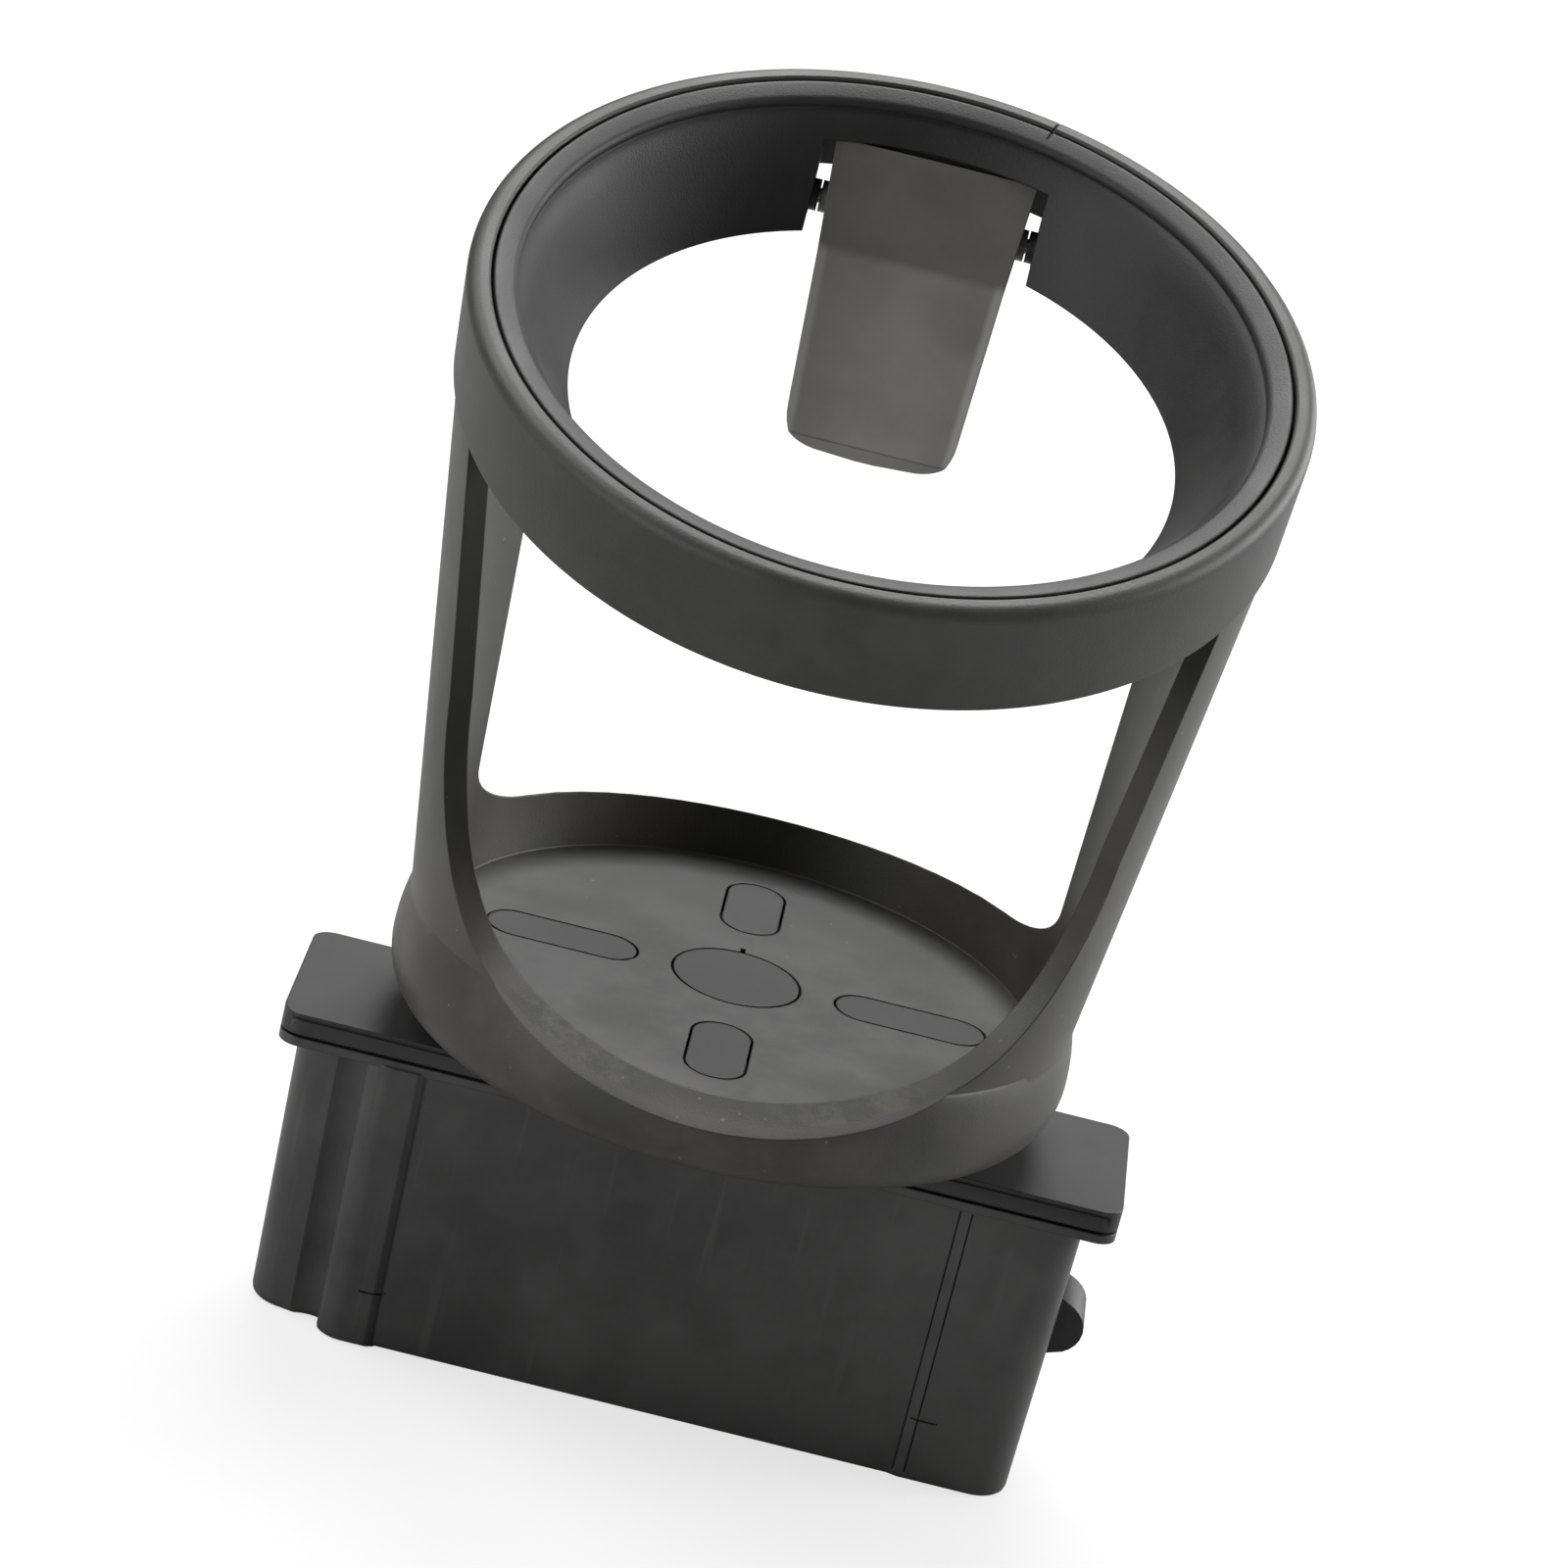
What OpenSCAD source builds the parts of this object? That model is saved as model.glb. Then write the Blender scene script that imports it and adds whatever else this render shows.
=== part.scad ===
// Cup holder for a car console: an open basket with a tilted two-part ring and a
// sprung can flap, standing on a flanged plug with a side latch.
// X runs across the plug, Y from front to back, Z up; the origin is the middle of
// the plug's underside.

/* [Basket] */
// Height of the cup floor above the underside of the plug
floor_z = 52.2; // [50:0.1:58]
// Inside radius of the basket at its floor
cup_r = 35.6; // [34.5:0.1:36.5]
// Thickness of the legs
wall = 3; // [2.6:0.1:3.4]
// Thickness of the cup floor
floor_t = 3; // [2.6:0.1:3.6]
// Largest radius of the bead round the base, beyond the outside of the legs
bead_proud = 1.7; // [1.2:0.1:2.2]
// Height of the bead above the cup floor
bead_top = 5; // [4:0.1:6]
// Depth of the bead below the cup floor
bead_drop = 7.6; // [7.5:0.1:9]
// Thickness of the bead's lower edge
bead_edge = 2.2; // [1.8:0.1:2.6]
// Height of the front window's sill above the cup floor
sill_front = 1; // [0.6:0.1:3]
// Height of the rear window's sill above the cup floor, at its inside edge
sill_rear = 6.1; // [6:0.1:8]
// Corner radius of the rear window
rear_corner_r = 6; // [4:0.1:7]
// Half width of the rear window at the cup floor
rear_half = 35.3; // [34:0.1:35.4]
// How much wider each side of the rear window gets per millimetre of height
rear_flare = 0.049; // [0.04:0.001:0.07]
// Radius of the front window's lower corners, in its drawing plane
front_corner_r = 29.5; // [24:0.5:32]
// Half width of the front window, in its drawing plane
front_half = 58; // [55:0.1:60]
// How much wider each side of the front window gets per millimetre of height
front_flare = 0.22; // [0.15:0.01:0.25]
// Distance behind the cup's axis of the point that the front window's cut faces run to
focus_y = 22.7; // [20:0.1:26]
// Height of that point above the cup floor
focus_z = 32.7; // [28:0.1:38]
// Distance in front of the cup's axis of the point that the rear window's cut faces run to
rear_focus_y = 60; // [50:1:80]
// Height of that point above the cup floor
rear_focus_z = 59.5; // [55:0.5:70]

/* [Ring] */
// Tilt of the ring, lower at the front
ring_tilt = 20.35; // [18:0.05:21]
// Height of the ring's top plane above the cup floor, on the cup's axis
ring_h = 81.6; // [80:0.1:90]
// Outside radius at the top of the ring
ring_r = 48.45; // [48.2:0.05:49]
// How much smaller the ring's outside radius is at its lower edge
ring_draft = 0.44; // [0.2:0.02:0.6]
// Height of the notch in the band's lower edge, behind the flap
back_notch = 2; // [1.6:0.1:2.4]
// Depth of the ring's outer band
band_h = 14.5; // [13.5:0.05:16]
// Thickness of the band at its top
band_t = 2.65; // [2.4:0.05:2.8]
// Radius of the band's rounded top edge
band_round = 1.6; // [1:0.1:2]
// Step from the band's lower edge in to the outside of the legs
leg_step = 0.55; // [0.3:0.05:0.8]
// Width of the groove between the band and the liner
seam_gap = 0.3; // [0.2:0.02:0.4]

/* [Liner] */
// Width of the rim, from the ring's outside to the liner's upper inside edge
rim_w = 5.78; // [5.4:0.02:6.4]
// Depth of that edge below the ring's top plane
lip_drop = 0.76; // [0.4:0.02:1.2]
// How much smaller the liner's radius is at its foot than at that edge
funnel_in = 7.67; // [6.6:0.01:8.6]
// Thickness of the liner's funnel wall
liner_t = 2.1; // [1.8:0.1:2.4]
// Thickness of the liner's collar inside the band
collar_t = 1.7; // [1.4:0.1:2]
// Depth of the collar below the ring's top plane
collar_h = 6.5; // [6:0.1:7]
// Half width of the window that the flap stands in
flap_window_half = 13.5; // [13.2:0.1:15]
// Depth of that window's head below the ring's top plane
flap_window_top = 5; // [4.8:0.1:5.2]

/* [Flap] */
// Depth of the hinge below the ring's top plane
hinge_drop = 12.75; // [12.6:0.01:12.9]
// Distance of the hinge in from the ring's outside, along the ring's top plane
hinge_in = 10.623; // [10.5:0.001:10.8]
// Depth of the hinge behind the flap's front face
hinge_depth = 2.87; // [2.7:0.01:3]
// Length of the flap above its hinge
flap_head = 7.1; // [6.6:0.1:7.1]
// Length of the flap from its hinge to its bend
flap_neck = 6.6; // [5:0.1:8]
// Length of the flap below its bend
flap_blade = 22.9; // [18:0.1:24]
// Lean of the flap's upper part
flap_lean = 15.4; // [12:0.1:18]
// Lean of the flap's blade
blade_lean = 40.5; // [34:0.5:44]
// Half width of the flap at its top
flap_half = 12.3; // [11.6:0.1:12.4]
// Half width of the flap at its tip
flap_tip_half = 10.2; // [9:0.1:12]
// Radius of the tip's corners
flap_corner_r = 5; // [3:0.5:6]
// Thickness of the flap's plate
flap_t = 2; // [1.6:0.1:2.2]
// Depth of the flap's turned-back edges
flap_edge = 4; // [3:0.1:4.4]
// Width of the flap's turned-back edges
flap_rim = 1.6; // [1.2:0.1:2]
// Radius of the hinge barrels and ears
barrel_r = 1.9; // [1.8:0.05:1.95]
// Radius of the hinge pin
pin_r = 0.9; // [0.7:0.05:1]
// Radial clearance of the flap on the pin
pin_fit = 0.05; // [0.02:0.01:0.08]
// Wire radius of the flap's spring
flap_wire_r = 0.25; // [0.2:0.01:0.28]

/* [Plug] */
// Width of the flange
flange_w = 100; // [98:0.5:104]
// Depth of the flange
flange_d = 25; // [24.8:0.1:28]
// Height of the flange's top above the underside of the plug
flange_z = 40; // [39.8:0.1:40.3]
// Thickness of the cap's edge
cap_t = 2.6; // [2.2:0.1:2.8]
// Thickness of the plug's own flange below the cap
rim_t = 1.1; // [1:0.1:1.4]
// Half width of the plug's left end, just below the flange
plug_left = 48.2; // [47.5:0.1:48.6]
// Half width of the plug's right end, just below the flange
plug_right = 46.3; // [46:0.1:46.8]
// Half depth of the plug's middle panel
plug_half_d = 12; // [11.8:0.05:12.1]
// Wall thickness of the plug
plug_wall = 2.2; // [2:0.1:2.4]
// Places of the two screw posts along the plug
post_x = [-28, 13];

/* [Latch] */
// Height of the latch's middle above the underside of the plug
latch_z = 20.4; // [19:0.1:22]
// Height of the latch
latch_h = 8; // [7:0.1:9]
// Half width of the latch's nose
nose_half = 4; // [3:0.1:4.4]
// How far the nose stands out of the plug
nose_out = 3.5; // [3.2:0.1:3.6]

/* [Clearances] */
// Gap round pieces that slide
slide_gap = 0.3; // [0.25:0.05:0.4]
// Gap between pieces that fit into one another
fit_gap = 0.2; // [0.15:0.05:0.25]
// Radial clearance of a screw in its pilot hole
screw_fit = 0.05; // [0.03:0.01:0.08]

/* [Hidden] */
$fn = 64;
loft_sides = 96;
skin = 0.01;

black = "#2b2a29";
soft_black = "#3a3937";
steel = "#a9adb0";

ring_z = floor_z + ring_h;
leg_r = cup_r + wall;
ring_bottom_r = ring_r - ring_draft;
leg_top_r = ring_bottom_r - leg_step;
band_in_r = ring_r - band_t;
skirt_in_r = leg_r - wall - 0.8;
leg_top_in_r = leg_top_r - wall;
sill_bow = 0.0014;

tongue_out_r = band_in_r - fit_gap;
tongue_t = 1.7;
tongue_half = 12;
tongue_root = 2.2;
tongue_top = collar_h + 0.5;
catch_half = 3.2;
catch_drop = 10.4;
catch_h = 1.4;
catch_depth = 0.8;

snap_drop = 5.2;
snap_h = 0.7;
snap_proud = 0.35;

lip_r = ring_r - rim_w;
mouth_r = lip_r - funnel_in;
funnel_slope = funnel_in / (band_h - lip_drop);
funnel_wall = liner_t * sqrt(1 + funnel_slope * funnel_slope);
function funnel_r(drop) = lip_r - funnel_slope * (drop - lip_drop);
liner_out_r = band_in_r - seam_gap;
lip_t = 2;
cheek_t = 2.6;
notch_half = flap_window_half + cheek_t;
cheek_r = barrel_r + 0.4;
reach = 2 * ring_r;

hinge = [(ring_r - hinge_in) * cos(ring_tilt) + hinge_drop * sin(ring_tilt),
         ring_z + (ring_r - hinge_in) * sin(ring_tilt) - hinge_drop * cos(ring_tilt)];
function up(lean) = [sin(lean), cos(lean)];
function out(lean) = [cos(lean), -sin(lean)];
face_mid = hinge - hinge_depth * out(flap_lean);
face_top = face_mid + flap_head * up(flap_lean);
face_bend = face_mid - flap_neck * up(flap_lean);
face_tip = face_bend - flap_blade * up(blade_lean);
flap_side_gap = 0.35;
barrel_half = flap_half + 0.15;
spring_half = 4.2;
coil_r = pin_r + 0.2 + flap_wire_r;
coil_pocket_r = coil_r + flap_wire_r + 0.25;
turn = 360;
lintel_half = 9.4;
lintel_t = 1.5;

key_w = 6.8;
keys = [[12, 29.8, 0], [14, 29, 90], [12, 29.8, 180], [14, 29, 270]];
hub_disc_r = 7.5;
hub_z = floor_z - floor_t;
hub_t = 4.4;
hub_bottom = hub_z - hub_t;
hub_r = skirt_in_r - 2 * fit_gap;
hub_web = 1.5;
neck = [48, 19];
hub_screw_r = 24;
hub_boss_r = 3.8;
hub_shaft_r = 1.45;
hub_head_r = 2.9;
head_h = 2;
hub_bite = 4.2;

cap_z = flange_z - cap_t;
joint_gap = 0.4;
cap_groove = 0.3;
rim_top = cap_z - joint_gap;
rim_z = rim_top - rim_t;
cap_crease_y = 3.8;
cap_fall = 0.25;
spigot_h = 4;
spigot_t = 1.6;
post_r = 3.6;
sleeve_r = 4.4;
sleeve_top = 18;
sleeve_step = 12;
post_shaft_r = 1.5;
post_head_r = 3;
post_bite = 10;

panel_half = 32;
ticks = [[-34.2, 7], [32.3, 7.9]];
tick_w = 3.2;
tick_t = 0.25;
tick_depth = 0.5;
end_rib_w = 13.5;
end_bay_half = 4;
latch_back = 33;
shoulder_half = nose_half + 1.4;
latch_bore_r = 2.6;
latch_bore = 8;
channel_x = 20;
channel_back = 2;
rail_t = 1.8;
latch_coil_r = 1.9;
nose_r = 3.4;
latch_wire_r = 0.3;
seat_post_r = 1.3;
seat_post = 3;

function arc(c, r, a, b, n) =
    [for (i = [0:n]) let (t = a + (b - a) * i / n) c + r * [cos(t), sin(t)]];
function ellipse(c, rx, ry, a, b, n) =
    [for (i = [0:n]) let (t = a + (b - a) * i / n) c + [rx * cos(t), ry * sin(t)]];
function mirrored(p) = [for (i = [len(p) - 1:-1:0]) [-p[i].x, p[i].y]];

// Puts children in the ring's own frame: its axis is Z and its top plane is at zero.
module in_ring()
    translate([0, 0, ring_z]) rotate([ring_tilt, 0, 0]) children();

// Stands a profile drawn as (Y, Z) across the part, centred on X.
module across(w)
    rotate([90, 0, 90]) linear_extrude(w, center = true) children();

// Runs an outline drawn as (X, Z) along Y, from y0 to y1.
module along(y0, y1)
    translate([0, y1, 0]) rotate([90, 0, 0]) linear_extrude(y1 - y0) children();

module rounded(size, r)
    hull() for (x = [-1, 1], y = [-1, 1])
        translate([x * (size.x / 2 - r), y * (size.y / 2 - r)]) circle(r, $fn = 24);

// A round wire along a path, closed at both ends.
module wire(path, r, sides = 6) {
    n = len(path);
    function side(v) = abs(v.x) < 0.9 * norm(v) ? [1, 0, 0] : [0, 0, 1];
    function unit(v) = v / norm(v);
    ways = [for (i = [0:n - 1]) unit(path[min(i + 1, n - 1)] - path[max(i - 1, 0)])];
    rings = [for (i = [0:n - 1])
        let (a = unit(cross(ways[i], side(ways[i]))), b = cross(ways[i], a))
        for (k = [0:sides - 1])
            path[i] + r * (a * cos(360 * k / sides) + b * sin(360 * k / sides))];
    skin_faces = [for (i = [0:n - 2], k = [0:sides - 1], half = [0, 1])
        let (m = (k + 1) % sides, a = i * sides, b = a + sides)
        half == 0 ? [a + k, a + m, b + m] : [a + k, b + m, b + k]];
    start = [for (k = [sides - 1:-1:0]) k];
    end = [for (k = [0:sides - 1]) (n - 1) * sides + k];
    polyhedron(rings, concat([start, end], skin_faces), convexity = 6);
}

// The legs' cone: round at the cup floor, and round in the ring's tilted plane.
module leg_loft(inset, low)
    hull() {
        translate([0, 0, low]) cylinder(r = leg_r - inset, h = skin, $fn = loft_sides);
        in_ring() translate([0, 0, -band_h - skin])
            cylinder(r = leg_top_r - inset, h = skin, $fn = loft_sides);
    }

module bead() {
    bulge = [leg_r + bead_proud, -2.3];
    foot_r = skirt_in_r + bead_edge;
    low = ellipse([foot_r, bulge.y], bulge.x - foot_r, bead_drop + bulge.y, -90, 0, 10);
    high = [for (i = [1:6]) let (z = bulge.y + (bead_top - 0.8 - bulge.y) * i / 6)
        [bulge.x - pow(z - bulge.y, 2) / 44, z]];
    translate([0, 0, floor_z]) rotate_extrude($fn = 128) polygon(concat(
        [[skirt_in_r, -bead_drop]], low, high,
        [[leg_r + 0.2, bead_top], [leg_r - 1.4, bead_top], [leg_r - 1.4, -1],
         [skirt_in_r, -floor_t + 0.6]]));
}

// The U-shaped front window: its cut faces all run to one point behind the cup's axis.
module front_window() {
    near = 8;
    far = 56;
    plane = cup_r + focus_y;
    corner = [front_half - front_corner_r, sill_front + 0.2 + front_corner_r];
    top = 120;
    half = concat([[corner.x / 2, sill_front + 0.1]],
        arc(corner, front_corner_r, 270, 360, 14),
        [[front_half + front_flare * (top - corner.y), top]]);
    translate([0, -near, floor_z + focus_z]) rotate([90, 0, 0])
        linear_extrude(far - near, scale = (far + focus_y) / (near + focus_y))
            scale((near + focus_y) / plane) translate([0, -focus_z])
                polygon(concat(mirrored(half), [[0, sill_front]], half));
}

// The rear window's edge is laid out on the cup's inside wall, as (X, height above the
// floor), and run out from the focus point in front of the cup's axis.
function rear_edge() =
    let (r = rear_corner_r, c = [rear_half - r, sill_rear + sill_bow * pow(rear_half - r, 2) + r])
    concat([for (i = [0:4]) let (x = c.x * i / 5) [x, sill_rear + sill_bow * x * x]],
        arc(c, r, 272, 360, 8),
        [for (h = [30:20:110]) [rear_half + rear_flare * (h - c.y), h]]);

module rear_window() {
    near = 4;
    far = 60;
    lean = (leg_top_in_r - cup_r) / (ring_h - band_h);
    half = [for (p = rear_edge())
        let (in_r = cup_r + lean * p.y, y = sqrt(max(in_r * in_r - p.x * p.x, 9)),
             k = (near + rear_focus_y) / (y + rear_focus_y))
        [k * p.x, rear_focus_z + k * (p.y - rear_focus_z)]];
    other = [for (p = half) if (p.x > 0) p];
    translate([0, near, floor_z + rear_focus_z]) rotate([90, 0, 180])
        linear_extrude(far - near, scale = (far + rear_focus_y) / (near + rear_focus_y))
            translate([0, -rear_focus_z]) polygon(concat(mirrored(other), half));
}

module key_shape(key, gap)
    rotate(key[2]) {
        translate([key[0] + key_w / 2, 0]) circle(key_w / 2 + gap);
        translate([key[1] - key_w / 2, 0]) circle(key_w / 2 + gap);
        translate([key[0] + key_w / 2, -key_w / 2 - gap])
            square([key[1] - key[0] - key_w, key_w + 2 * gap]);
    }

module at_hub_screws()
    for (a = [45:90:315]) rotate(a) translate([hub_screw_r, 0, 0]) children();

// The tongue at the top of each leg, which goes up inside the band.
module tongues()
    in_ring() difference() {
        intersection() {
            translate([0, 0, -band_h - tongue_root]) difference() {
                cylinder(r = tongue_out_r, h = band_h + tongue_root - tongue_top, $fn = 128);
                translate([0, 0, -1])
                    cylinder(r = tongue_out_r - tongue_t, h = 2 * band_h, $fn = 128);
            }
            translate([-ring_r, -tongue_half, -2 * band_h])
                cube([2 * ring_r, 2 * tongue_half, 2 * band_h]);
        }
        translate([-ring_r, -catch_half - fit_gap, -catch_drop - fit_gap])
            cube([2 * ring_r, 2 * (catch_half + fit_gap), catch_h + 2 * fit_gap]);
    }

module basket() color(black) difference() {
    union() {
        difference() {
            leg_loft(0, floor_z - floor_t);
            leg_loft(wall, floor_z);
            front_window();
            rear_window();
        }
        difference() {
            bead();
            front_window();
        }
        tongues();
        at_hub_screws() translate([0, 0, hub_bottom + hub_web + fit_gap])
            cylinder(r = hub_boss_r, h = hub_t - hub_web - fit_gap + 0.5);
    }
    translate([0, 0, hub_z - 1]) linear_extrude(floor_t + 2) {
        circle(hub_disc_r + fit_gap);
        translate([-0.3, hub_disc_r]) square([0.6, 1.4]);
        for (key = keys) key_shape(key, fit_gap);
    }
    at_hub_screws() translate([0, 0, hub_bottom + hub_web - 1])
        cylinder(r = hub_shaft_r + screw_fit, h = hub_bite + fit_gap + 1);
}

module outer_ring() color(black) in_ring() {
    crown = arc([ring_r - band_round, -band_round], band_round, 0, 90, 8);
    foot = arc([ring_bottom_r - 0.5, -band_h + 0.5], 0.5, 270, 360, 4);
    difference() {
        rotate_extrude($fn = 160) difference() {
            polygon(concat([[band_in_r, -band_h]], foot, crown, [[band_in_r, 0]]));
            translate([band_in_r - 1, -snap_drop - snap_h - fit_gap])
                square([1 + snap_proud + fit_gap / 2, snap_h + 2 * fit_gap]);
        }
        translate([-notch_half, 0, -band_h - 1]) cube([2 * notch_half, ring_r + 1, back_notch + 1]);
    }
    for (s = [-1, 1])
        translate([s * (band_in_r - catch_depth / 2 + 0.3), 0, catch_h / 2 - catch_drop])
            cube([catch_depth + 0.6, 2 * catch_half, catch_h], center = true);
}

module liner_section() {
    foot_in = [mouth_r, -band_h + 0.05];
    foot_out = [mouth_r + funnel_wall, -band_h + 0.35];
    lip = arc([lip_r + 0.9, -lip_drop - 0.75], 0.9, 205, 110, 5);
    polygon(concat([foot_in], lip, [
        [liner_out_r - 0.7, -0.12],
        [liner_out_r, -0.5],
        [liner_out_r, -lip_t],
        [tongue_out_r, -lip_t],
        [tongue_out_r, -snap_drop],
        [band_in_r + snap_proud - 0.1, -snap_drop - 0.15],
        [tongue_out_r, -snap_drop - snap_h],
        [tongue_out_r, -collar_h],
        [tongue_out_r - collar_t, -collar_h],
        [tongue_out_r - collar_t, -lip_t - 0.6],
        [funnel_r(lip_t + 0.6) + funnel_wall, -lip_t - 0.6],
        foot_out]));
}

// Two cheeks behind the funnel wall with ears that reach in to the flap.
module ears() {
    at = flap_window_half;
    for (s = [-1, 1]) {
        translate([s * (at + cheek_t / 2), 0, 0]) across(cheek_t) hull() {
            translate(hinge) circle(cheek_r, $fn = 32);
            translate(hinge + [-0.6, 5]) circle(cheek_r, $fn = 32);
            translate(hinge + [0.8, 4]) circle(cheek_r, $fn = 32);
        }
        translate([s * (at - (at - flap_half - flap_side_gap) / 2 + 0.25), 0, 0])
            across(at - flap_half - flap_side_gap + 0.5)
                translate(hinge) circle(barrel_r);
    }
}

// A tab that hangs behind the flap's head: the flap rests on it, and so does the spring.
module lintel() {
    back = flap_t + flap_side_gap;
    foot = face_top + back * out(flap_lean) - 4 * up(flap_lean);
    head = face_top + back * out(flap_lean) + 2.5 * up(flap_lean);
    across(2 * lintel_half) polygon([foot, head, head + lintel_t * out(flap_lean),
        foot + lintel_t * out(flap_lean)]);
}

module inner_liner() color(soft_black) difference() {
    union() {
        in_ring() difference() {
            rotate_extrude($fn = 160) liner_section();
            translate([-flap_window_half, 0.7 * mouth_r, -2 * band_h])
                cube([2 * flap_window_half, mouth_r, 2 * band_h - flap_window_top]);
        }
        ears();
        lintel();
    }
    across(reach) translate(hinge) circle(pin_r + pin_fit);
}

function flap_layer(front, back, extra) =
    let (h = (tan(blade_lean) + tan(flap_lean)) / 2)
    [face_top + front * out(flap_lean) + extra * up(flap_lean),
     face_bend + front * out(flap_lean) - front * h * 0.5 * up(flap_lean),
     face_tip + front * out(blade_lean) - extra * up(blade_lean),
     face_tip + back * out(blade_lean) - extra * up(blade_lean),
     face_bend + back * out(flap_lean) - back * h * 0.5 * up(flap_lean),
     face_top + back * out(flap_lean) + extra * up(flap_lean)];

module flap_outline(inset) {
    r = flap_corner_r - inset * 0.6;
    foot = face_tip.y + inset - 2.2;
    c = [flap_tip_half - inset - r, foot + r];
    half = concat(arc(c, r, 280, 358, 8),
        [[flap_half - inset, face_top.y + 2]]);
    polygon(concat(mirrored(half), [[0, foot - 0.5]], half));
}

module flap() color(soft_black) difference() {
    union() {
        difference() {
            intersection() {
                across(2 * flap_half) polygon(flap_layer(0, flap_edge, 0));
                along(0, reach) flap_outline(0);
            }
            intersection() {
                across(2 * flap_half) polygon(flap_layer(flap_t, 3 * flap_edge, 3));
                along(0, reach + 1) flap_outline(flap_rim);
            }
        }
        for (s = [-1, 1]) translate([s * (spring_half + barrel_half) / 2, 0, 0])
            across(barrel_half - spring_half) translate(hinge) circle(barrel_r);
    }
    across(reach) translate(hinge) circle(pin_r + pin_fit);
    across(2 * spring_half) translate(hinge) circle(coil_pocket_r);
}

module flap_pin() color(steel)
    across(2 * (flap_window_half + cheek_t - 0.2)) translate(hinge) circle(pin_r);

module flap_spring() color(steel) {
    turns = 5;
    steps = 12;
    width = 2 * (spring_half - 1);
    lean = flap_lean;
    start = 232;
    n = turns * steps + 4;
    coil = [for (i = [0:n]) let (t = start + turn * i / steps)
        [-width / 2 + width * i / n, hinge.x + coil_r * cos(t), hinge.y + coil_r * sin(t)]];
    foot = face_bend + (flap_t + flap_wire_r + 0.1) * out(lean) + 1.6 * up(lean);
    head = face_top + (flap_t + flap_side_gap + lintel_t + flap_wire_r + 0.1) * out(lean)
        - 0.8 * up(lean);
    wire(concat([[-width / 2, foot.x, foot.y]], coil, [[width / 2, head.x, head.y]]),
        flap_wire_r);
}

module hub_disc()
    difference() {
        union() {
            translate([0, 0, hub_bottom]) cylinder(r = hub_r, h = hub_t, $fn = 128);
            translate([0, 0, hub_z - 1]) linear_extrude(floor_t + 1) {
                circle(hub_disc_r);
                for (key = keys) key_shape(key, 0);
            }
            translate([0, 0, flange_z - 1]) linear_extrude(hub_bottom - flange_z + 1.5)
                rounded(neck, 5);
        }
        at_hub_screws() {
            translate([0, 0, hub_bottom + hub_web])
                cylinder(r = hub_boss_r + fit_gap, h = hub_t);
            translate([0, 0, hub_bottom - 1])
                cylinder(r = hub_shaft_r + fit_gap, h = hub_t);
        }
    }

module adapter_cap() color(black) {
    hub_disc();
    difference() {
        translate([0, 0, cap_z]) linear_extrude(cap_t)
            rounded([flange_w, flange_d], 2.5);
        translate([0, flange_d / 2 + 1, flange_z])
            rotate([-atan(cap_fall / (flange_d / 2 - cap_crease_y)), 0, 0])
                translate([-flange_w, cap_crease_y - flange_d / 2 - 1, cap_fall * 1.1])
                    cube([2 * flange_w, flange_d, 4]);
        translate([-flange_w, -flange_d / 2 - 1, flange_z - 2.6 * cap_groove])
            cube([2 * flange_w, 1 + cap_groove, cap_groove]);
    }
    translate([0, 0, cap_z - spigot_h]) linear_extrude(spigot_h + 0.5) difference() {
        cavity(fit_gap);
        cavity(fit_gap + spigot_t);
    }
    for (x = post_x) translate([x, 0, sleeve_top + 0.1]) difference() {
        cylinder(r = post_r, h = cap_z - sleeve_top);
        translate([0, 0, -1]) cylinder(r = post_shaft_r + screw_fit, h = post_bite + 2);
    }
    hold_z = latch_z + latch_h / 2 + slide_gap;
    translate([latch_back + 1, -nose_half, hold_z])
        cube([6, 2 * nose_half, cap_z - hold_z + 0.5]);
}

module screw(shaft_r, head_r, length) {
    difference() {
        translate([0, 0, -head_h]) cylinder(r = head_r, h = head_h);
        for (a = [0, 90]) rotate(a) translate([-head_r * 0.6, -0.35, -head_h - 1])
            cube([head_r * 1.2, 0.7, 1 + head_h / 2]);
    }
    cylinder(r = shaft_r, h = length);
}

module hub_screws() color(steel)
    at_hub_screws() translate([0, 0, hub_bottom])
        screw(hub_shaft_r, hub_head_r, hub_web + hub_bite - 0.5);

module body_screws() color(steel)
    for (x = post_x) translate([x, 0, sleeve_step])
        screw(post_shaft_r, post_head_r, sleeve_top - sleeve_step + post_bite);

// Plan of the plug's front half, from its left end to its right end.
function plug_front() =
    let (l = -plug_left, r = plug_right, d = plug_half_d)
    concat(
        [[l, -3.4]],
        arc([l + 4.4, -3.6], 4.4, 185, 262, 6),
        arc([l + 7.2, -12.2], 4.2, 115, 60, 4),
        arc([l + 12.2, -9.2], 3.6, 212, 270, 5),
        [[-panel_half - 1, -d - 0.8], [-panel_half, -d],
         [panel_half, -d], [panel_half + 1.4, -d - 0.4]],
        arc([r - 4.2, -d + 3.8], 4.2, 270, 355, 8));

module plug_plan() {
    front = plug_front();
    back = [for (i = [len(front) - 1:-1:0]) [front[i].x, -front[i].y]];
    polygon(concat(front, back));
}

// Plan of the plug's inside: a main bay, and a narrow bay in the ribbed left end.
module cavity(gap) {
    half = plug_half_d - plug_wall - gap;
    right = plug_right - plug_wall - gap;
    translate([(right + gap - (plug_left - end_rib_w)) / 2, 0])
        rounded([plug_left - end_rib_w + right - gap, 2 * half], 3);
    if (gap == 0) translate([-plug_left + plug_wall + 0.6, -end_bay_half])
        square([end_rib_w, 2 * end_bay_half]);
}

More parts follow.
